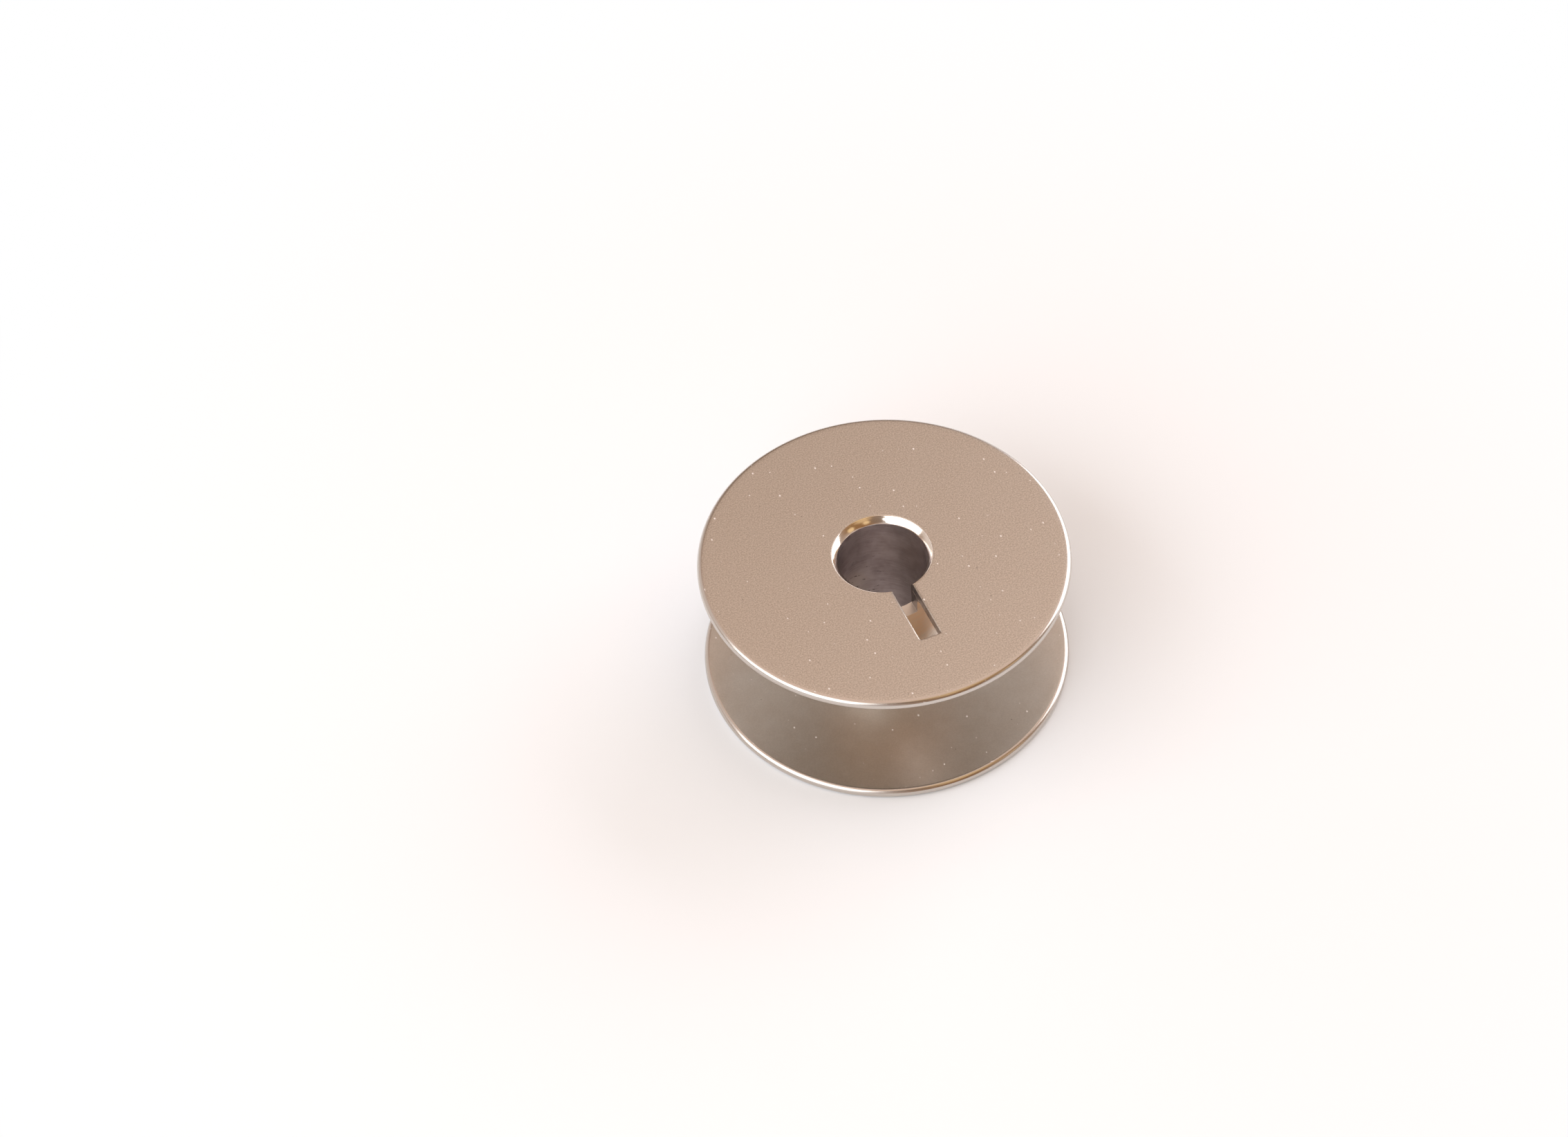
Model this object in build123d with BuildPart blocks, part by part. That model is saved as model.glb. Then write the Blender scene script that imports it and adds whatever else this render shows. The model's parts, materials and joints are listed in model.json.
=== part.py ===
"""Slotted metal sewing bobbin: a tubular hub sleeve swaged into two round flanges.

Frame: +Z along the bore, origin on the axis at the outer face of the lower flange.
The upper flange's drive slot points to -Y, the lower one's to +Y. Millimetres.
"""

import os

from build123d import *

# ---- Driving dimensions ----
flange_dia = 25.4
flange_thickness = 0.75
bobbin_height = 10.4
bore_dia = 6.1
hub_dia = 7.65

# Swaged end of the sleeve, which holds a flange: a thin spigot that widens to a lip in the
# flange's countersink, and a rounded mouth from the lip down into the bore.
spigot_dia = 6.6
lip_dia = 6.86
countersink_depth = 0.3
mouth_dia = 6.8
mouth_depth = 0.5
mouth_radius = 0.9

# Shoulder of the sleeve, which a flange seats on.
shoulder_fillet = 0.38
shoulder_land = 0.06

# Drive slot of a flange, which goes on as a notch in the sleeve's wall.
slot_width = 1.5
slot_end_radius = 7.6
slot_corner_radius = 0.12
slot_edge_break = 0.08
notch_depth = 2.1

# ---- Worked out from them ----
flange_radius = flange_dia / 2
bore_radius = bore_dia / 2
hub_radius = hub_dia / 2
spigot_radius = spigot_dia / 2
lip_radius = lip_dia / 2
mouth_edge_radius = mouth_dia / 2
shoulder_radius = hub_radius + shoulder_fillet
rim_radius = flange_thickness / 2
mid_height = bobbin_height / 2
seat_height = bobbin_height - flange_thickness
countersink_height = bobbin_height - countersink_depth

# Half a turn about this line swaps the bobbin's two ends.
turnover_axis = Axis((0, 0, mid_height), (1, 0, 0))


# ---- Hub sleeve: its upper half, then the same half turned over ----
with BuildPart() as sleeve_half:
    with BuildSketch(Plane.XZ):
        with BuildLine():
            land_z = seat_height - shoulder_land
            Line((bore_radius, mid_height), (hub_radius, mid_height))
            Line((hub_radius, mid_height), (hub_radius, land_z - shoulder_fillet))
            RadiusArc(
                (hub_radius, land_z - shoulder_fillet),
                (shoulder_radius, land_z),
                shoulder_fillet,
            )
            Polyline(
                (shoulder_radius, land_z),
                (shoulder_radius, seat_height),
                (spigot_radius, seat_height),
                (spigot_radius, countersink_height),
                (lip_radius, bobbin_height),
                (mouth_edge_radius, bobbin_height),
            )
            # The mouth bulges towards the bore.
            mouth_bottom = (bore_radius, bobbin_height - mouth_depth)
            RadiusArc((mouth_edge_radius, bobbin_height), mouth_bottom, -mouth_radius)
            Line(mouth_bottom, (bore_radius, mid_height))
        make_face()
    revolve(axis=Axis.Z)
    # The notch runs from the middle of the bore out past the shoulder.
    with BuildSketch(Plane.XY.offset(bobbin_height)):
        Rectangle(slot_width, shoulder_radius + 1, align=(Align.CENTER, Align.MAX))
    extrude(amount=-notch_depth, mode=Mode.SUBTRACT)

with BuildPart() as hub_sleeve:
    add(sleeve_half.part)
    add(sleeve_half.part.rotate(turnover_axis, 180))
hub_sleeve.part.label = "hub_sleeve"


# ---- Upper flange: a disc with a fully rounded rim, a countersunk hole and a drive slot ----
with BuildPart() as upper_flange:
    with BuildSketch(Plane.XZ):
        with BuildLine():
            flat_end = flange_radius - rim_radius
            Line((spigot_radius, seat_height), (flat_end, seat_height))
            ThreePointArc(
                (flat_end, seat_height),
                (flange_radius, seat_height + rim_radius),
                (flat_end, bobbin_height),
            )
            Polyline(
                (flat_end, bobbin_height),
                (lip_radius, bobbin_height),
                (spigot_radius, countersink_height),
                (spigot_radius, seat_height),
            )
        make_face()
    revolve(axis=Axis.Z)
    with BuildSketch(Plane.XY.offset(bobbin_height)):
        Rectangle(slot_width, slot_end_radius, align=(Align.CENTER, Align.MAX))
    extrude(amount=-flange_thickness, mode=Mode.SUBTRACT)
    # The slot's two outer corners, then the broken edge round its mouth on the outer face.
    slot_corners = upper_flange.edges().filter_by(Axis.Z).group_by(Axis.Y)[0]
    fillet(slot_corners, radius=slot_corner_radius)
    outer_face = upper_flange.faces().filter_by(Axis.Z).sort_by(Axis.Z)[-1]
    slot_mouth = outer_face.edges().filter_by(
        lambda edge: edge.length < slot_end_radius and edge.center().Y < -bore_radius
    )
    chamfer(slot_mouth, length=slot_edge_break)
upper_flange.part.label = "upper_flange"


# ---- Lower flange: the same pressing, turned over ----
with BuildPart() as lower_flange:
    add(upper_flange.part.rotate(turnover_axis, 180))
lower_flange.part.label = "lower_flange"


os.makedirs("parts", exist_ok=True)
for piece in (hub_sleeve, upper_flange, lower_flange):
    export_step(piece.part, f"parts/{piece.part.label}.step")
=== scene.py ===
"""Slotted metal sewing bobbin: finished meshes, metals and a plain white studio.

The file is laid out as an add-on and is run as a script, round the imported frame. Sizes are in
metres, in the frame's own axes: +Z along the bore, the upper flange's drive slot towards -Y and
the lower one's towards +Y. Sizes inside the materials are in millimetres.
"""

import json
import math

import bmesh
import bpy
from bpy.props import FloatProperty, FloatVectorProperty, IntProperty, PointerProperty
from bpy.types import Operator, Panel, PropertyGroup
from mathutils import Matrix, Vector


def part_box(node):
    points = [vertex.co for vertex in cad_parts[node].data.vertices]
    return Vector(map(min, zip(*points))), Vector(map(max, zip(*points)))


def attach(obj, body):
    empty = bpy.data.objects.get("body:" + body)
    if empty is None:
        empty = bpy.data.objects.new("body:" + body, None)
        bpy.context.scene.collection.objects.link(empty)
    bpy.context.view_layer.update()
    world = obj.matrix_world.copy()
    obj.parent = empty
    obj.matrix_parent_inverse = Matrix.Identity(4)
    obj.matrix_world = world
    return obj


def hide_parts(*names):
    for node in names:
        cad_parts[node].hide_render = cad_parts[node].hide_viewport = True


bl_info = {
    "name": "Sewing Bobbin Maker",
    "version": (1, 0, 0),
    "blender": (4, 5, 0),
    "location": "3D View > Sidebar > Bobbin",
    "description": "Builds a slotted metal sewing bobbin, its finishes and a plain studio",
    "category": "Object",
}

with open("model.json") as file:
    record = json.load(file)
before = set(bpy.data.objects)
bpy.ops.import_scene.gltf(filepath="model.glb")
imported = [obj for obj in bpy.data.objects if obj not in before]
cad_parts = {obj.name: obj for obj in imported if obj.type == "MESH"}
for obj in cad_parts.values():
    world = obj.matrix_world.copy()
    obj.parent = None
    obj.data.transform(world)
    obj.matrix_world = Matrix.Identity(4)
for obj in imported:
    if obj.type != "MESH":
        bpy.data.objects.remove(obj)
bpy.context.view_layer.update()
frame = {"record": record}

# Sizes in metres: HAIR is the slack when two heights are compared, points nearer than WELD are one,
# and GROOVE is how deep the groove round a swaged lip is.
MM = 0.001
HAIR = 1e-7
WELD = 1e-8
GROOVE = 0.03 * MM

# Places of the finishes in a piece's list of materials.
FLANGE_FACE, FLANGE_CUT = 0, 1
SLEEVE_INSIDE, SLEEVE_OUTSIDE, NOTCH_FLOOR, NOTCH_SIDE = 0, 1, 2, 3

FLOOR_RADIUS, DOME_RADIUS, LIGHT_DISTANCE = 3.0, 1.5, 0.5
FLANGE_LOW, FLANGE_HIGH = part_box("upper_flange")
HUB_LOW, HUB_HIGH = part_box("hub_sleeve")
BORE = next(mount for mount in frame["record"]["mounts"] if mount["name"] == "bore")

# Soft round places in the room, painted in this order. Four angles in degrees come first: where the
# middle is, round from -Y and up from the floor, then how far from it the place is whole and where
# it has faded out. Its strength and the studio's colour for it follow.
ROOM_PLACES = (
    (165, 26, 4, 36, 0.75, "shade"),
    (115, 0, 15, 50, 1.0, "horizon"),
    (-137, 16, 17, 44, 1.0, "rear"),
    (-65, 5, 25, 55, 1.0, "horizon"),
    (-98, 3, 12, 34, 0.9, "wall"),
    (26, 34, 16, 42, 0.95, "golden"),
    (45, 0, 10, 30, 0.7, "low_wall"),
    (-17, 42, 5, 22, 0.9, "shade"),
    (11, 37, 3, 8, 1.0, "lamp"),
    (46, 28, 4, 9, 1.0, "lamp"),
    (26, 56, 4, 20, 0.9, "lamp"),
)


def length(name, description, default):
    """A size in metres."""
    return FloatProperty(name=name, description=description, default=default,
                         unit="LENGTH", precision=6)


def colour(name, description, default):
    """A linear colour."""
    return FloatVectorProperty(name=name, description=description, default=default,
                               subtype="COLOR", size=3, min=0.0, max=1.0)


def number(name, description, default):
    """A plain number."""
    return FloatProperty(name=name, description=description, default=default)


def angle(name, description, degrees):
    """An angle, given in degrees and kept in radians."""
    return FloatProperty(name=name, description=description, default=math.radians(degrees),
                         subtype="ANGLE")


# ---------------------------------------------------------------- settings


class BobbinSizes(PropertyGroup):
    """Sizes of the three pieces of metal."""

    flange_radius: length("Flange radius", "From the axis to the outside of the rim",
                          FLANGE_HIGH.x)
    flange_thickness: length("Flange thickness", "Between a flange's two faces",
                             FLANGE_HIGH.z - FLANGE_LOW.z)
    height: length("Height", "Over both flanges", HUB_HIGH.z - HUB_LOW.z)
    bore_radius: length("Bore radius", "Inside of the sleeve", BORE["dims"]["r_mm"] * MM)
    hub_radius: length("Hub radius", "Outside of the sleeve between the flanges", 3.825 * MM)
    shoulder_radius: length("Shoulder radius", "Edge of the fillet on which a flange seats",
                            HUB_HIGH.x)
    spigot_radius: length("Spigot radius", "Sleeve's end inside a flange", 3.30 * MM)
    lip_radius: length("Lip radius", "Swaged lip at a flange's outer face", 3.45 * MM)
    seat_depth: length("Seat depth", "Countersink under the swaged lip", 0.30 * MM)
    mouth_depth: length("Mouth depth", "Polished mouth, from the face into the bore", 0.44 * MM)
    mouth_drift: length("Mouth drift", "How far a mouth stands off centre, away from the slot",
                        0.30 * MM)
    slot_width: length("Slot width", "Width of a drive slot", 1.50 * MM)
    slot_end: length("Slot end", "From the axis to the slot's outer end", 7.60 * MM)
    slot_corner: length("Slot corner", "Radius in the slot's outer corners", 0.12 * MM)
    slot_break: length("Slot edge", "Rolled edge of a slot on the outer face", 0.13 * MM)
    slot_burr_edge: length("Slot inner edge", "Rolled edge of a slot on the inner face", 0.03 * MM)
    notch_depth: length("Notch depth", "From the face down to the notch's floor in the sleeve",
                        2.10 * MM)
    sleeve_edge: length("Sleeve edge", "Rolled edge of the sleeve's notches and ends", 0.03 * MM)
    columns: IntProperty(name="Columns", description="Faces round a full turn", default=360)


class BobbinFinish(PropertyGroup):
    """Colours and gloss of the metal."""

    nickel: colour("Nickel", "Reflection colour of the plated faces", (0.78, 0.70, 0.63))
    nickel_dull: colour("Dull nickel", "Colour in the hollows of the grain", (0.555, 0.49, 0.425))
    nickel_bright: colour("Bright nickel", "Colour of the swaged mouths", (0.80, 0.73, 0.66))
    # Painted shade: the rims are kept darker than the plated faces, standing in for shaded floor
    # mirrored in them.
    rim: colour("Rims", "Colour of the rolled rims", (0.60, 0.545, 0.50))
    # Painted shade: both slot colours are kept dark to stand in for the shade inside the slots and
    # notches; the streaks between them are tool marks.
    slot_painted_shade_deep: colour("Slot, dark", "Darker marks on the walls of a slot", (0.13, 0.11, 0.11))
    slot_painted_shade_pale: colour("Slot, light", "Lighter marks on the walls of a slot", (0.34, 0.29, 0.27))
    inner_nickel: colour("Inner nickel", "Cooler plating on the faces towards the thread",
                         (0.69, 0.675, 0.645))
    # Painted reflection: a warm tone on the upper hub stands in for light passed back and forth
    # between the nickel faces.
    hub_painted_reflection: colour("Warm hub", "Warmer tone of the hub towards its upper end",
                       (0.63, 0.44, 0.30))
    bore_dull: colour("Dull bore", "Colour of the duller patches in the bore", (0.66, 0.59, 0.60))
    # Painted shade: the bore's sides, away from the slots' line, are darkened.
    bore_painted_shade: colour("Bore sides", "Darker sides of the bore's wall, away from the slots",
                       (0.36, 0.32, 0.31))
    bore_tint: colour("Bore", "Reflection colour of the bore's wall", (0.97, 0.91, 0.92))
    # This colour also paints light low on the left of the bore.
    dust: colour("Dust", "Pale specks on the plating", (0.86, 0.80, 0.77))
    pit: colour("Pits", "Dark pits in the plating", (0.25, 0.21, 0.18))
    gouge: colour("Gouges", "Torn marks low in the bore", (0.07, 0.06, 0.06))
    face_roughness: number("Face roughness", "Satin faces", 0.36)
    inner_roughness: number("Inner roughness", "Satin faces towards the thread", 0.32)
    rim_roughness: number("Rim roughness", "Rolled rims", 0.20)
    mouth_roughness: number("Mouth roughness", "Swaged mouths", 0.12)
    bore_roughness: number("Bore roughness", "Reamed bore", 0.33)
    grain_size: number("Grain", "Grain of the satin faces, in millimetres", 0.10)


class BobbinStudio(PropertyGroup):
    """Camera, lights and floor."""

    azimuth: angle("Azimuth", "Camera round the bobbin, from -Y", -22.95)
    elevation: angle("Elevation", "Camera above the floor", 50.67)
    distance: length("Distance", "Camera from the bobbin's centre", 0.26435)
    aim: FloatVectorProperty(name="Aim", description="What the camera points at, from the centre",
                             default=(-0.00502, 0.00598, 0.0), subtype="TRANSLATION",
                             precision=5)
    roll: angle("Roll", "Camera about its own axis", -3.44)
    lens: number("Lens", "Focal length in millimetres, on a 36 mm frame", 88.2)
    floor: colour("Floor", "Matt white under the bobbin", (0.86, 0.90, 0.945))
    wall: colour("Wall", "Warm walls", (0.45, 0.325, 0.25))
    ceiling: colour("Ceiling", "Ceiling over the bobbin", (1.0, 0.80, 0.68))
    horizon: colour("Horizon", "Pale walls low down", (0.85, 0.79, 0.78))
    rear: colour("Rear wall", "Pale wall behind, on the left", (0.86, 0.76, 0.70))
    low_wall: colour("Low wall", "Foot of the golden side", (0.70, 0.60, 0.53))
    golden: colour("Golden side", "Warmest wall, in front and to the right", (0.33, 0.17, 0.07))
    lamp: colour("Golden lamps", "Warm lamps on the golden side", (1.0, 0.72, 0.40))
    shade: colour("Shade", "Dark places in front and behind", (0.27, 0.19, 0.14))
    left_power: number("Left power", "Left softbox, in watts", 2.05)
    right_power: number("Right power", "Right softbox, in watts", 1.6)


# ---------------------------------------------------------------- shader maths


class Wire:
    """A shader socket that can stand in Python arithmetic. Each operator adds one Math node."""

    def __init__(self, graph, socket):
        self.graph = graph
        self.socket = socket

    def __add__(self, other):
        return self.graph.math("ADD", self, other)

    def __sub__(self, other):
        return self.graph.math("SUBTRACT", self, other)

    def __rsub__(self, other):
        return self.graph.math("SUBTRACT", other, self)

    def __mul__(self, other):
        return self.graph.math("MULTIPLY", self, other)

    def __truediv__(self, other):
        return self.graph.math("DIVIDE", self, other)

    def __gt__(self, other):
        return self.graph.math("GREATER_THAN", self, other)

    __radd__ = __add__
    __rmul__ = __mul__


class Graph:
    """The node tree of one material or world, filled through a single method."""

    def __init__(self, tree):
        self.tree = tree
        tree.nodes.clear()

    def node(self, kind, settings=None, sockets=None, output=0):
        """Adds a node, feeds its sockets with values or wires, and returns one output as a Wire."""
        made = self.tree.nodes.new(kind)
        for name, value in (settings or {}).items():
            setattr(made, name, value)
        for name, value in (sockets or {}).items():
            socket = made.inputs[name]
            if isinstance(value, Wire):
                self.tree.links.new(value.socket, socket)
            else:
                socket.default_value = value
        return Wire(self, made.outputs[output]) if made.outputs else None

    def math(self, operation, *values):
        return self.node("ShaderNodeMath", {"operation": operation}, dict(enumerate(values)))

    def vector(self, operation, *values):
        return self.node("ShaderNodeVectorMath", {"operation": operation}, dict(enumerate(values)))

    def scaled(self, place, sizes):
        """A place with each of its three coordinates multiplied."""
        return self.vector("MULTIPLY", place, sizes)

    def parts(self, place):
        """The x, y and z of a place."""
        made = self.node("ShaderNodeSeparateXYZ", sockets={0: place}).socket.node
        return [Wire(self, output) for output in made.outputs]

    def joined(self, x, y, z=0.0):
        return self.node("ShaderNodeCombineXYZ", sockets={0: x, 1: y, 2: z})

    def mix(self, factor, first, second):
        """A colour between two colours."""
        tones = [tone if isinstance(tone, Wire) else (*tone, 1.0) for tone in (first, second)]
        return self.node("ShaderNodeMix", {"data_type": "RGBA"},
                         {0: factor, 6: tones[0], 7: tones[1]}, output=2)

    def ramp(self, value, low, high):
        """0 below low, 1 above high and a smooth step between; low may be the larger."""
        return self.node("ShaderNodeMapRange", {"interpolation_type": "SMOOTHSTEP"},
                         {"Value": value, "From Min": low, "From Max": high})

    def noise(self, place, scale, detail=2.0, roughness=0.5):
        return self.node("ShaderNodeTexNoise", None,
                         {"Vector": place, "Scale": scale, "Detail": detail,
                          "Roughness": roughness})

    def cells(self, place, scale):
        """Distance, random colour and centre of scattered cells on a plane."""
        made = self.node("ShaderNodeTexVoronoi", {"voronoi_dimensions": "2D"},
                         {"Vector": place, "Scale": scale}).socket.node
        return [Wire(self, made.outputs[name]) for name in ("Distance", "Color", "Position")]


def object_place(graph):
    """The surface point in the bobbin's own axes, in millimetres."""
    made = graph.node("ShaderNodeTexCoord", output="Object")
    return graph.scaled(made, (1 / MM,) * 3)


def flat_place(graph, place):
    """A place on the XY plane, moved with height so that no two faces share a pattern."""
    x, y, z = graph.parts(place)
    return graph.joined(x + z * 7.3, y + z * 3.1)


def specks(graph, place, spacing, size, share):
    """A mask of round specks, spacing and size in millimetres, in a share of the cells."""
    distance, random, _ = graph.cells(place, 1 / spacing)
    chance, scale, _ = graph.parts(random)
    edge = scale * (size / spacing) + 0.2 * size / spacing
    return graph.ramp(distance / edge, 1.0, 0.4) * (chance > 1 - share)


def scratches(graph, place, spacing, reach, width, share, spread=math.tau):
    """A mask of fine scratches, sizes in millimetres, with headings within spread radians."""
    bent = graph.noise(place, 0.6 / spacing)
    shift = graph.joined(bent * (0.25 * spacing), bent * (-0.2 * spacing))
    wander = graph.vector("ADD", place, shift)
    _, random, centre = graph.cells(wander, 1 / spacing)
    turn, chance, stretch = graph.parts(random)
    x, y, _ = graph.parts(graph.vector("SUBTRACT", wander, centre))
    heading = (turn - 0.5) * spread
    cosine = graph.math("COSINE", heading)
    sine = graph.math("SINE", heading)
    along = graph.math("ABSOLUTE", x * cosine + y * sine)
    across = graph.math("ABSOLUTE", y * cosine - x * sine)
    line = graph.ramp(across, width, 0.3 * width)
    ends = graph.ramp(along, reach * (0.3 + 0.7 * stretch), 0.0)
    return line * ends * (chance > 1 - share)


def metal(name, fill):
    """A new metal: fill(graph) gives the varying sockets of its Principled shader."""
    made = bpy.data.materials.new(name)
    made.use_nodes = True
    graph = Graph(made.node_tree)
    shader = graph.node("ShaderNodeBsdfPrincipled", None, {"Metallic": 1.0, **fill(graph)})
    graph.node("ShaderNodeOutputMaterial", None, {"Surface": shader})
    return made


def bumped(graph, height, depth):
    """A normal from a height of 0 to 1 that stands for depth millimetres."""
    return graph.node("ShaderNodeBump", None,
                      {"Strength": 1.0, "Distance": depth * MM, "Height": height})


# ---------------------------------------------------------------- finishes


def satin_nickel(sizes, finish):
    """Plated flange: satin faces with faint mottling, specks and scratches, and a smoother rim in a
    colour darkened as painted shade.
    """

    def fill(graph):
        place = object_place(graph)
        x, y, z = graph.parts(place)
        radius = graph.math("SQRT", x * x + y * y)
        from_middle = graph.math("ABSOLUTE", z - sizes.height / 2 / MM)
        inner_face = (sizes.height / 2 - sizes.flange_thickness) / MM
        inside = graph.ramp(from_middle, inner_face + 0.25, inner_face + 0.05)
        rim_start = (sizes.flange_radius - 0.55 * sizes.flange_thickness) / MM
        rim = graph.ramp(radius, rim_start, rim_start + 0.18)
        grain = graph.noise(place, 1 / finish.grain_size, detail=3.0, roughness=0.7)
        mottle = graph.noise(place, 0.45, detail=3.0, roughness=0.55)
        haze = graph.noise(place, 0.9, detail=1.0)
        flat = flat_place(graph, place)
        dust = specks(graph, graph.scaled(flat, (1.0, 0.72, 1.0)),
                      spacing=1.0, size=0.07, share=0.34)
        pits = specks(graph, graph.scaled(flat, (1.31, 1.17, 1.0)),
                      spacing=2.8, size=0.08, share=0.25)
        marks = scratches(graph, flat, spacing=3.2, reach=1.1, width=0.03, share=0.4)
        tone = graph.mix(graph.ramp(grain, 0.36, 0.64), finish.nickel_dull, finish.nickel)
        tone = graph.mix(mottle * 0.3, tone, finish.nickel_dull)
        cooler = graph.mix(haze * 0.6, finish.inner_nickel, finish.nickel_dull)
        tone = graph.mix(inside * 0.75, tone, cooler)
        # Painted shade: the darker rim colour stands in for shaded floor mirrored in the rims.
        tone = graph.mix(rim, tone, finish.rim)
        tone = graph.mix(dust, tone, finish.dust)
        tone = graph.mix(pits * 0.55, tone, finish.pit)
        drawn_out = graph.joined(x / radius * 1.5 + radius * 13.0, y / radius * 1.5 + z * 13.0,
                                 radius * 5.0)
        rolling = graph.noise(drawn_out, 1.0, detail=3.0, roughness=0.6)
        satin = finish.face_roughness + inside * (finish.inner_roughness - finish.face_roughness)
        satin = satin + (mottle - 0.5) * 0.06 + (grain - 0.5) * (1 - inside) * 0.18 - marks * 0.03
        roughness = satin * (1 - rim) + rim * (finish.rim_roughness + (rolling - 0.5) * 0.12)
        height = grain * (1.1 - 0.95 * rim) * (1 - inside) + rolling * rim * 2.5
        height = height - pits * 1.2 - marks * 0.5
        return {"Base Color": tone, "Metallic": 1 - 0.85 * dust, "Roughness": roughness,
                "Normal": bumped(graph, height, 0.0028)}

    return metal("satin_nickel", fill)


def sheared_edge(name, low, high):
    """Pressed or milled cuts, with fine upright tool marks between a low and a high tone."""

    def fill(graph):
        place = object_place(graph)
        upright = graph.scaled(place, (9.0, 9.0, 1.2))
        streak = graph.noise(upright, 1.0, detail=3.0, roughness=0.6)
        tone = graph.mix(graph.ramp(streak, 0.3, 0.7), low, high)
        return {"Base Color": tone, "Roughness": 0.26 + streak * 0.16,
                "Normal": bumped(graph, streak, 0.002)}

    return metal(name, fill)


def swaged_metal(sizes, finish):
    """Inside of the sleeve: a polished mouth at each end and a reamed, scored bore between."""

    def fill(graph):
        place = object_place(graph)
        x, y, z = graph.parts(place)
        half = sizes.height / 2 / MM
        from_middle = graph.math("ABSOLUTE", z - half)
        mouth_low = half - sizes.mouth_depth / MM
        mouth = graph.ramp(from_middle, mouth_low - 0.02, mouth_low + 0.03)
        helical = graph.scaled(graph.joined(x, y, z + x * 0.12), (0.7, 0.7, 9.0))
        reaming = graph.noise(helical, 1.0, detail=4.0, roughness=0.65)
        blotch = graph.noise(place, 0.55, detail=3.0, roughness=0.6)
        ripple = graph.noise(place, 1.7)
        around_bore = graph.math("ARCTAN2", x, y) * (sizes.bore_radius / MM)
        wall = graph.joined(around_bore, z)
        # Painted light: a pale, less metallic patch low on the bore's left side, where light falls
        # into the bore, thinned out in patches.
        painted_light_low = graph.ramp(z, 7.0, 4.6) * graph.ramp(x, 0.8, -1.2)
        patchy = graph.noise(place, 0.8, detail=3.0, roughness=0.6)
        painted_light_low = painted_light_low * graph.ramp(patchy, 0.15, 0.45)
        jagged = graph.noise(wall, 5.0, roughness=0.6)
        torn = graph.joined(around_bore, z + jagged * 0.16)
        gouges = scratches(graph, torn, spacing=0.9, reach=0.75, width=0.07, share=0.85, spread=0.9)
        gouges = gouges * graph.ramp(jagged, 0.44, 0.54)
        gouges = gouges * (0.12 + 0.88 * graph.ramp(z, 7.4, 5.8) * graph.ramp(x, 1.6, -0.2))
        shade = graph.ramp(reaming * 0.35 + blotch * 0.65, 0.36, 0.64)
        tone = graph.mix(shade, finish.bore_dull, finish.bore_tint)
        # Painted shade: the bore's wall darkens towards its sides, away from the slots' line.
        painted_side_shade = graph.ramp(graph.math("ABSOLUTE", x + 0.2), 1.3, 3.0)
        tone = graph.mix(painted_side_shade * (0.75 - 0.3 * blotch), tone, finish.bore_painted_shade)
        # Painted light low in the bore, in the dust colour.
        tone = graph.mix(painted_light_low, tone, finish.dust)
        tone = graph.mix(gouges * 0.9, tone, finish.gouge)
        tone = graph.mix(mouth, tone, finish.nickel_bright)
        worn = finish.bore_roughness + (reaming - 0.5) * 0.24 + (blotch - 0.5) * 0.12
        roughness = worn * (1 - mouth) + mouth * (finish.mouth_roughness + (ripple - 0.5) * 0.05)
        height = (reaming * 0.9 - gouges) * (1 - mouth) + mouth * ripple * 1.2
        return {"Base Color": tone, "Metallic": 1 - painted_light_low * 0.75 * (1 - mouth),
                "Roughness": roughness, "Normal": bumped(graph, height, 0.004)}

    return metal("swaged_metal", fill)


def turned_nickel(finish):
    """Outside of the sleeve: plated over fine turning lines."""

    def fill(graph):
        place = object_place(graph)
        _, _, z = graph.parts(place)
        lines = graph.scaled(place, (0.5, 0.5, 14.0))
        turning = graph.noise(lines, 1.0, detail=3.0, roughness=0.6)
        mottle = graph.noise(place, 0.8, detail=3.0, roughness=0.6)
        # Painted reflection: the upper hub is warmed to stand in for light passed between the
        # nickel faces.
        tone = graph.mix(graph.ramp(z + mottle, 4.8, 6.3), finish.nickel, finish.hub_painted_reflection)
        hollows = graph.ramp(turning * 0.6 + mottle * 0.4, 0.6, 0.25)
        tone = graph.mix(hollows, tone, finish.nickel_dull)
        return {"Base Color": tone, "Roughness": 0.30 + turning * 0.14,
                "Normal": bumped(graph, turning, 0.003)}

    return metal("turned_nickel", fill)


def floor_white(studio):
    """The floor: matt white near the bobbin, fading to plain lit white further off."""
    made = bpy.data.materials.new("floor_white")
    made.use_nodes = True
    graph = Graph(made.node_tree)
    x, y, _ = graph.parts(object_place(graph))
    shader = graph.node("ShaderNodeBsdfPrincipled", None,
                        {"Base Color": (*studio.floor, 1.0), "Roughness": 0.9,
                         "Specular IOR Level": 0.2})
    glow = graph.node("ShaderNodeEmission", None,
                      {"Color": (1.0, 1.0, 1.0, 1.0), "Strength": 1.0})
    fade_starts, fade_ends = 32.0, 75.0
    far = graph.ramp(graph.math("SQRT", x * x + y * y), fade_starts, fade_ends)
    both = graph.node("ShaderNodeMixShader", None, {0: far, 1: shader, 2: glow})
    graph.node("ShaderNodeOutputMaterial", None, {"Surface": both})
    return made


def patch(graph, heading, azimuth, elevation, near, far):
    """A soft round patch of sky: 1 within near degrees of its middle, 0 beyond far degrees."""
    middle = around(math.radians(azimuth), math.radians(elevation), 1.0)
    closeness = graph.node("ShaderNodeVectorMath", {"operation": "DOT_PRODUCT"},
                           {0: heading, 1: tuple(middle)}, output="Value")
    return graph.ramp(closeness, math.cos(math.radians(far)), math.cos(math.radians(near)))


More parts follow.
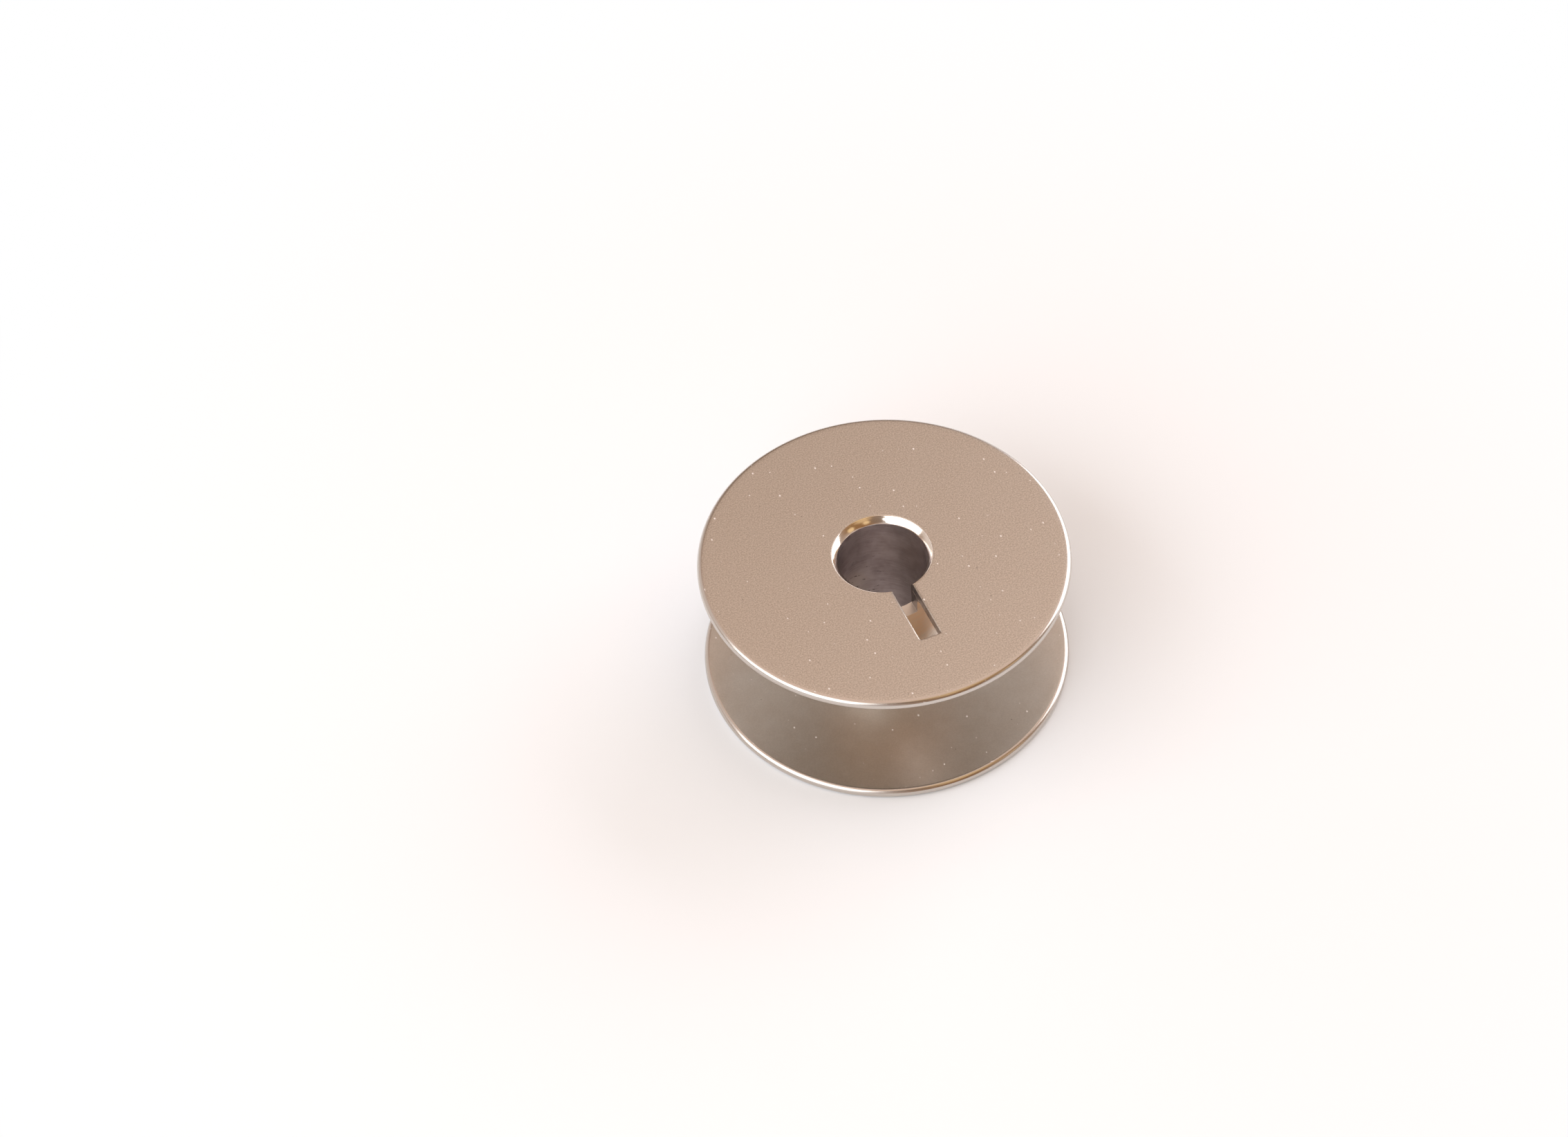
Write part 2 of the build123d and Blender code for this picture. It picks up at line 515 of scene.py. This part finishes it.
def room_warm(studio):
    """The room that the metal mirrors: walls, a lighter ceiling, and soft places over both."""
    made = bpy.data.materials.new("room_warm")
    made.use_nodes = True
    graph = Graph(made.node_tree)
    heading = graph.vector("NORMALIZE", object_place(graph))
    _, _, height = graph.parts(heading)
    tone = graph.mix(graph.ramp(height, 0.56, 0.89), studio.wall, studio.ceiling)
    for azimuth, elevation, near, far, strength, name in ROOM_PLACES:
        place = patch(graph, heading, azimuth, elevation, near, far)
        tone = graph.mix(place * strength, tone, getattr(studio, name))
    shader = graph.node("ShaderNodeEmission", None, {"Color": tone, "Strength": 1.0})
    graph.node("ShaderNodeOutputMaterial", None, {"Surface": shader})
    return made


# ---------------------------------------------------------------- mesh work


def finish_object(mesh, name, materials, node):
    """Turns a bmesh into a piece that stands for one CAD node."""
    bmesh.ops.remove_doubles(mesh, verts=mesh.verts, dist=WELD)
    bmesh.ops.recalc_face_normals(mesh, faces=mesh.faces)
    data = bpy.data.meshes.new(name)
    mesh.to_mesh(data)
    mesh.free()
    for material in materials:
        data.materials.append(material)
    piece = bpy.data.objects.new(name, data)
    bpy.context.scene.collection.objects.link(piece)
    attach(piece, "root")
    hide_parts(node)
    return piece


def add_ring(mesh, points):
    return [mesh.verts.new(point) for point in points]


def join_rings(mesh, low, high, material=FLANGE_FACE):
    """A closed strip of faces between two rings with the same number of points."""
    for here in range(len(low)):
        there = (here + 1) % len(low)
        face = mesh.faces.new((low[here], low[there], high[there], high[here]))
        face.material_index = material
        face.smooth = True


def fill_between(mesh, inner, outer):
    """A flat face between two rings that need not have the same number of points."""
    edges = []
    for ring in (inner, outer):
        for here in range(len(ring)):
            pair = (ring[here], ring[(here + 1) % len(ring)])
            edges.append(mesh.edges.get(pair) or mesh.edges.new(pair))
    made = bmesh.ops.triangle_fill(mesh, use_beauty=True, use_dissolve=False, edges=edges)
    for item in made["geom"]:
        if isinstance(item, bmesh.types.BMFace):
            item.material_index = FLANGE_FACE
            item.smooth = True


def drifted(sizes, z):
    """Where the hole's centre stands at a height: the bore leans towards both swaged mouths."""
    half = sizes.height / 2
    from_middle = z - half
    mouth_low = half - sizes.mouth_depth
    reach = abs(from_middle)
    share_in_bore, share_in_mouth = 0.8, 0.2
    if reach < mouth_low:
        share = share_in_bore * reach / mouth_low
    else:
        share = share_in_bore + share_in_mouth * (reach - mouth_low) / sizes.mouth_depth
    return Vector((0, math.copysign(sizes.mouth_drift * share, from_middle)))


def arc(centre, radius, start, end, count):
    """Points along an arc, both ends included, angles in radians."""
    return [
        Vector((centre[0] + radius * math.cos(start + (end - start) * step / count),
                centre[1] + radius * math.sin(start + (end - start) * step / count)))
        for step in range(count + 1)
    ]


def keyhole(sizes, hole_radius, centre, spread, hole_z, slot_z):
    """The outline of a flange's hole and slot, the slot widened by spread, as raised points."""
    half = sizes.slot_width / 2 + spread
    reach = math.sqrt(hole_radius**2 - (half - centre.x) ** 2)
    right = math.atan2(-reach, half - centre.x)
    reach_left = math.sqrt(hole_radius**2 - (half + centre.x) ** 2)
    left = math.atan2(-reach_left, -half - centre.x) + math.tau
    hole = arc(centre, hole_radius, right, left, sizes.columns)
    inset = sizes.slot_width / 2 - sizes.slot_corner
    low = -sizes.slot_end + sizes.slot_corner
    corner = sizes.slot_corner + spread
    corner_steps = 6
    slot = arc((-inset, low), corner, math.pi, 1.5 * math.pi, corner_steps)
    slot += arc((inset, low), corner, 1.5 * math.pi, math.tau, corner_steps)
    return [(*p, hole_z) for p in hole] + [(*p, slot_z) for p in slot]


def flange_mesh(sizes):
    """The upper flange: a disc with a rolled rim, a hole for the lip and a slot towards -Y."""
    mesh = bmesh.new()
    top = sizes.height
    bottom = top - sizes.flange_thickness
    rim = sizes.flange_thickness / 2
    flat = sizes.flange_radius - rim
    support = 0.06 * MM
    rim_support = 0.25 * MM
    edge_steps, burr_steps, rim_steps = 6, 2, 18

    def level(hole_radius, spread, hole_z, slot_z):
        centre = drifted(sizes, hole_z)
        return add_ring(mesh, keyhole(sizes, hole_radius, centre, spread, hole_z, slot_z))

    rings = [level(sizes.lip_radius + GROOVE + support, sizes.slot_break + support, top, top)]
    for step in range(edge_steps + 1):
        turn = math.pi / 2 * step / edge_steps
        out, down = 1 - math.sin(turn), 1 - math.cos(turn)
        rings.append(level(sizes.lip_radius + GROOVE * out, sizes.slot_break * out,
                           top - GROOVE * down, top - sizes.slot_break * down))
    rings.append(level(sizes.spigot_radius, 0.0, top - sizes.seat_depth, top - sizes.seat_depth))
    burr = sizes.slot_burr_edge
    for step in range(burr_steps + 1):
        turn = math.pi / 2 * step / burr_steps
        spread = burr * (1 - math.cos(turn))
        rise = burr * (1 - math.sin(turn))
        rings.append(level(sizes.spigot_radius, spread, bottom + rise, bottom + rise))
    rings.append(level(sizes.spigot_radius + support, burr + support, bottom, bottom))
    for strip, (first, second) in enumerate(zip(rings, rings[1:])):
        cut = edge_steps <= strip < len(rings) - 2
        join_rings(mesh, first, second, FLANGE_CUT if cut else FLANGE_FACE)

    def circle(radius, z):
        outline = arc((0, 0), radius, 0, math.tau, sizes.columns)[:-1]
        return add_ring(mesh, [(*point, z) for point in outline])

    support_rings = [circle(flat - rim_support, z) for z in (top, bottom)]
    rim_rings = [support_rings[0]]
    for step in range(rim_steps + 1):
        turn = math.pi / 2 - math.pi * step / rim_steps
        rim_rings.append(circle(flat + rim * math.cos(turn), bottom + rim + rim * math.sin(turn)))
    rim_rings.append(support_rings[1])
    for first, second in zip(rim_rings, rim_rings[1:]):
        join_rings(mesh, first, second)
    fill_between(mesh, rings[0], support_rings[0])
    fill_between(mesh, rings[-1], support_rings[1])
    return mesh


def half_profile(sizes):
    """The upper half of the sleeve's section, from the middle of the bore round to the hub's.

    Each point is (radius, z, whether it leans with the bore, finish).
    """
    top = sizes.height
    middle = top / 2
    seat = top - sizes.flange_thickness
    floor = top - sizes.notch_depth
    waist = middle + 0.7 * (floor - middle)
    bore, hub = sizes.bore_radius, sizes.hub_radius
    mouth_low = top - sizes.mouth_depth
    inner_round, face_round = 0.06 * MM, 0.05 * MM
    land, support = 0.06 * MM, 0.08 * MM
    bulge_height = 0.012 * MM
    cone_steps, fillet_steps = 6, 8
    fillet = sizes.shoulder_radius - hub

    profile = [(bore, z, True, SLEEVE_INSIDE)
               for z in (middle, waist, floor - support, floor, floor + support,
                         mouth_low - inner_round)]
    cone_low = Vector((bore + 0.25 * inner_round, mouth_low + 0.4 * inner_round))
    cone_high = Vector((sizes.lip_radius - 1.3 * face_round, top - 0.9 * face_round))
    for step in range(cone_steps + 1):
        point = cone_low.lerp(cone_high, step / cone_steps)
        bulge = bulge_height * math.sin(math.pi * step / cone_steps)
        profile.append((point.x - bulge, point.y + bulge, True, SLEEVE_INSIDE))
    lip = sizes.lip_radius
    profile += [(lip - 0.7 * face_round, top - 0.25 * face_round, True, SLEEVE_INSIDE),
                (lip - 0.2 * face_round, top - 0.02 * face_round, True, SLEEVE_INSIDE),
                (lip, top - GROOVE, True, SLEEVE_INSIDE),
                (sizes.spigot_radius, top - sizes.seat_depth, True, SLEEVE_INSIDE),
                (sizes.spigot_radius, seat, True, SLEEVE_OUTSIDE),
                (sizes.shoulder_radius, seat, False, SLEEVE_OUTSIDE),
                (sizes.shoulder_radius, seat - land, False, SLEEVE_OUTSIDE)]
    foot = arc((hub + fillet, seat - land - fillet), fillet, math.pi / 2, math.pi, fillet_steps)
    profile += [(point.x, point.y, False, SLEEVE_OUTSIDE) for point in foot[1:]]
    profile += [(hub, z, False, SLEEVE_OUTSIDE)
                for z in (floor + support, floor, floor - support, waist, middle)]
    return profile


def column_turns(sizes, radius, columns, notch_columns):
    """Angles of the sleeve's columns from -Y, with the notch's sides flat at every radius."""
    side = math.asin(sizes.slot_width / 2 / radius)
    quarter = columns // 4
    first = []
    for column in range(quarter):
        if column <= notch_columns:
            first.append(side * column / notch_columns)
        else:
            share = (column - notch_columns) / (quarter - notch_columns)
            first.append(side + (math.pi / 2 - side) * share)
    half = first + [math.pi / 2] + [math.pi - turn for turn in reversed(first[1:])]
    return half + [math.pi + turn for turn in half]


def hub_mesh(sizes):
    """The sleeve: a lathed tube with swaged ends and a notch at each, in line with the slots."""
    mesh = bmesh.new()
    columns = sizes.columns // 4 * 4
    notch_columns = 4
    upper = half_profile(sizes)
    lower = [(radius, sizes.height - z, leans, look) for radius, z, leans, look in reversed(upper)]
    profile = upper + lower[1:-1]
    middle = sizes.height / 2
    rows = []
    for radius, z, leans, _ in profile:
        drift = drifted(sizes, z) if leans else Vector((0, 0))
        rows.append(add_ring(mesh, [
            (drift.x + radius * math.sin(turn), drift.y - radius * math.cos(turn), z)
            for turn in column_turns(sizes, radius, columns, notch_columns)
        ]))
    notch_reach = middle - sizes.notch_depth - HAIR

    def cut_away(row, column):
        heights = profile[row][1], profile[(row + 1) % len(profile)][1]
        centred = (column + notch_columns) % columns
        if centred < 2 * notch_columns:
            return min(heights) >= middle + notch_reach
        beyond = centred - columns // 2
        return 0 <= beyond < 2 * notch_columns and max(heights) <= middle - notch_reach

    for row, (_, _, _, look) in enumerate(profile):
        after = (row + 1) % len(profile)
        for column in range(columns):
            if cut_away(row, column):
                continue
            beside = (column + 1) % columns
            face = mesh.faces.new((rows[row][column], rows[row][beside],
                                   rows[after][beside], rows[after][column]))
            face.material_index = look if look == profile[after][3] else SLEEVE_OUTSIDE
            face.smooth = True
    notch_rows = [[row for row, point in enumerate(profile) if point[1] >= middle + notch_reach],
                  [row for row, point in enumerate(profile) if point[1] <= middle - notch_reach]]
    for centre, inside in zip((0, columns // 2), notch_rows):
        for side in (-notch_columns, notch_columns):
            column = (centre + side) % columns
            face = mesh.faces.new([rows[row][column] for row in inside])
            face.material_index = NOTCH_SIDE
        for step in range(-notch_columns, notch_columns):
            column, beside = (centre + step) % columns, (centre + step + 1) % columns
            face = mesh.faces.new((rows[inside[0]][column], rows[inside[0]][beside],
                                   rows[inside[-1]][beside], rows[inside[-1]][column]))
            face.material_index = NOTCH_FLOOR
    return mesh


def soften(piece, width):
    """Small rolled edges along a piece's sharp edges."""
    bevel = piece.modifiers.new("rolled_edges", "BEVEL")
    bevel.width = width
    bevel.segments = 2
    bevel.limit_method = "ANGLE"
    bevel.angle_limit = math.radians(50)
    bevel.harden_normals = True


def true_normals(piece):
    """Shading normals that follow the larger faces, so that flats stay flat up to their edges."""
    weighted = piece.modifiers.new("true_normals", "WEIGHTED_NORMAL")
    weighted.mode = "FACE_AREA"
    weighted.weight = 50
    weighted.keep_sharp = True


# ---------------------------------------------------------------- operators


class BOBBIN_OT_hub_sleeve(Operator):
    """Build the sleeve with its swaged ends and notches"""

    bl_idname = "bobbin.hub_sleeve"
    bl_label = "Hub Sleeve"

    def execute(self, context):
        sizes, finish = context.scene.bobbin_sizes, context.scene.bobbin_finish
        materials = [swaged_metal(sizes, finish), turned_nickel(finish),
                     sheared_edge("milled_notch", finish.nickel, finish.nickel_bright),
                     # Painted shade on the notch's sides, from the dark slot colours.
                     sheared_edge("notch_side_painted_shade", finish.slot_painted_shade_deep, finish.slot_painted_shade_pale)]
        piece = finish_object(hub_mesh(sizes), "swaged_sleeve", materials,
                              "hub_sleeve")
        soften(piece, sizes.sleeve_edge)
        return {"FINISHED"}


class BOBBIN_OT_flanges(Operator):
    """Build the two pressed flanges"""

    bl_idname = "bobbin.flanges"
    bl_label = "Flanges"

    def execute(self, context):
        sizes, finish = context.scene.bobbin_sizes, context.scene.bobbin_finish
        materials = [satin_nickel(sizes, finish),
                     # Painted shade on the slot's walls, from the dark slot colours.
                     sheared_edge("sheared_slot_painted_shade", finish.slot_painted_shade_deep, finish.slot_painted_shade_pale)]
        middle = Matrix.Translation((0, 0, sizes.height / 2))
        turnover = middle @ Matrix.Rotation(math.pi, 4, "X") @ middle.inverted()
        for node, place in (("upper_flange", Matrix.Identity(4)), ("lower_flange", turnover)):
            mesh = flange_mesh(sizes)
            mesh.transform(place)
            piece = finish_object(mesh, "pressed_" + node, materials, node)
            true_normals(piece)
        return {"FINISHED"}


def facing(place, target):
    """The rotation that points an object's -Z from one place to another."""
    return (target - place).to_track_quat("-Z", "Y")


def softbox(name, place, target, size, power, tint):
    """A rectangular area light that the camera doesn't see."""
    data = bpy.data.lights.new(name, "AREA")
    data.shape = "RECTANGLE"
    data.size, data.size_y = size
    data.energy = power
    data.color = tint
    light = bpy.data.objects.new(name, data)
    light.location = place
    light.rotation_mode = "QUATERNION"
    light.rotation_quaternion = facing(place, target)
    light.visible_camera = False
    bpy.context.scene.collection.objects.link(light)


def around(azimuth, elevation, distance):
    """A place round the bobbin, with azimuth from -Y and both angles in radians."""
    flat = distance * math.cos(elevation)
    return Vector((math.sin(azimuth) * flat, -math.cos(azimuth) * flat,
                   distance * math.sin(elevation)))


class BOBBIN_OT_studio(Operator):
    """Build the floor, the lights, the room and the camera"""

    bl_idname = "bobbin.studio"
    bl_label = "Studio"

    def execute(self, context):
        sizes, studio = context.scene.bobbin_sizes, context.scene.bobbin_studio
        self.floor(studio)
        self.room(context.scene, studio)
        self.lights(studio)
        self.camera(context.scene, sizes, studio)
        return {"FINISHED"}

    def floor(self, studio):
        mesh = bmesh.new()
        bmesh.ops.create_circle(mesh, cap_ends=True, segments=96, radius=FLOOR_RADIUS)
        data = bpy.data.meshes.new("floor")
        mesh.to_mesh(data)
        mesh.free()
        data.materials.append(floor_white(studio))
        floor = bpy.data.objects.new("floor", data)
        bpy.context.scene.collection.objects.link(floor)

    def room(self, scene, studio):
        """A dome that lights the bobbin and shows in it; the camera sees past it, to white."""
        mesh = bmesh.new()
        bmesh.ops.create_uvsphere(mesh, u_segments=64, v_segments=32, radius=DOME_RADIUS)
        data = bpy.data.meshes.new("room_dome")
        mesh.to_mesh(data)
        mesh.free()
        data.materials.append(room_warm(studio))
        dome = bpy.data.objects.new("room_dome", data)
        dome.visible_camera = False
        scene.collection.objects.link(dome)
        world = bpy.data.worlds.new("plain_white")
        world.use_nodes = True
        scene.world = world
        graph = Graph(world.node_tree)
        back = graph.node("ShaderNodeBackground", None,
                          {"Color": (1.0, 1.0, 1.0, 1.0), "Strength": 1.0})
        graph.node("ShaderNodeOutputWorld", None, {"Surface": back})

    def lights(self, studio):
        centre = Vector((0, 0, 5 * MM))
        for name, azimuth, elevation, size, power, tint in (
                ("left_softbox", -74, 34, (0.68, 0.42), studio.left_power, (0.93, 0.97, 1.0)),
                ("right_softbox", 107, 22, (0.53, 0.42), studio.right_power, (0.96, 0.96, 1.0))):
            place = around(math.radians(azimuth), math.radians(elevation), LIGHT_DISTANCE)
            softbox(name, place, centre, size, power, tint)

    def camera(self, scene, sizes, studio):
        data = bpy.data.cameras.new("camera")
        data.lens = studio.lens
        data.clip_start, data.clip_end = 0.005, 20.0
        camera = bpy.data.objects.new("camera", data)
        centre = Vector((0, 0, sizes.height / 2))
        place = centre + around(studio.azimuth, studio.elevation, studio.distance)
        camera.location = place
        camera.rotation_mode = "QUATERNION"
        level = facing(place, centre + Vector(studio.aim))
        camera.rotation_quaternion = level @ Matrix.Rotation(studio.roll, 4, "Z").to_quaternion()
        scene.collection.objects.link(camera)
        scene.camera = camera
        scene.view_settings.view_transform = "Standard"
        scene.view_settings.look = "None"


class BOBBIN_PT_panel(Panel):
    """Bobbin sizes, finishes and studio"""

    bl_label = "Sewing Bobbin"
    bl_idname = "BOBBIN_PT_panel"
    bl_space_type = "VIEW_3D"
    bl_region_type = "UI"
    bl_category = "Bobbin"

    def draw(self, context):
        for operator in (BOBBIN_OT_hub_sleeve, BOBBIN_OT_flanges, BOBBIN_OT_studio):
            self.layout.operator(operator.bl_idname)
        for group in SETTINGS:
            settings = getattr(context.scene, group)
            for name in settings.bl_rna.properties.keys():
                if name not in ("rna_type", "name"):
                    self.layout.prop(settings, name)


SETTINGS = {"bobbin_sizes": BobbinSizes, "bobbin_finish": BobbinFinish,
            "bobbin_studio": BobbinStudio}
CLASSES = (*SETTINGS.values(), BOBBIN_OT_hub_sleeve, BOBBIN_OT_flanges, BOBBIN_OT_studio,
           BOBBIN_PT_panel)


def register():
    for made in CLASSES:
        bpy.utils.register_class(made)
    for name, group in SETTINGS.items():
        setattr(bpy.types.Scene, name, PointerProperty(type=group))


def unregister():
    for name in SETTINGS:
        delattr(bpy.types.Scene, name)
    for made in reversed(CLASSES):
        bpy.utils.unregister_class(made)


def main():
    register()
    bpy.ops.bobbin.hub_sleeve()
    bpy.ops.bobbin.flanges()
    bpy.ops.bobbin.studio()


if __name__ == "__main__":
    main()
